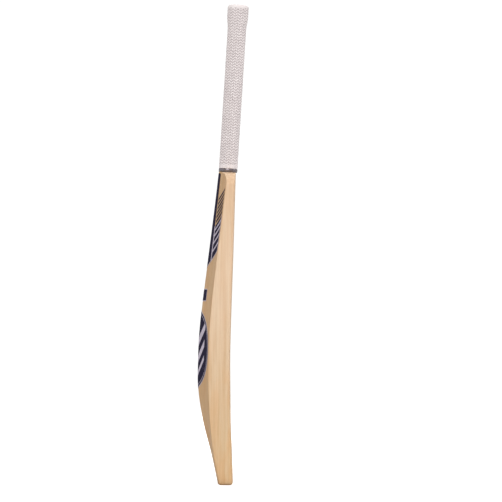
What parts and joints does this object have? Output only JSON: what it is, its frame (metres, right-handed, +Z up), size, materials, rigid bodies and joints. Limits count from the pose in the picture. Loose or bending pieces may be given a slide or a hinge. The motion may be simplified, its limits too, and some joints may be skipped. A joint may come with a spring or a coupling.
{
  "type": "cricket bat",
  "caption": "Cricket bat: bowed willow blade with a spine, spliced laminated cane handle, twine binding, rubber grip and printed back labels.",
  "frame": {"origin": "middle of the flat end of the toe", "axes": "+Z up the blade from toe to shoulder, -Y out of the playing face, +Y towards the spine, +X across the blade"},
  "size_m": [0.108, 0.0863, 0.8606],
  "materials": {
    "willow": "smooth, lightly oiled and waxed",
    "cane": "sanded",
    "spring_rubber": "matt",
    "twine": "tightly wound, glued thread",
    "grip_rubber": "matt, raised chevron tread",
    "collar_tape": "shiny pewter-coloured tape",
    "label_print": "printed film, navy with silver lines"
  },
  "bodies": {
    "root": {"blade": "willow", "cane_face_left": "cane", "cane_face_centre": "cane", "cane_face_right": "cane", "cane_front_left": "cane", "cane_front_centre": "cane", "cane_front_right": "cane", "cane_rear_left": "cane", "cane_rear_centre": "cane", "cane_rear_right": "cane", "cane_back_left": "cane", "cane_back_centre": "cane", "cane_back_right": "cane", "spring_front": "spring_rubber", "spring_middle": "spring_rubber", "spring_rear": "spring_rubber", "twine_binding": "twine", "grip_collar": "collar_tape", "rubber_grip": "grip_rubber", "label_chevron": "label_print", "label_bar": "label_print", "label_leaf": "label_print"}
  },
  "joints": []
}
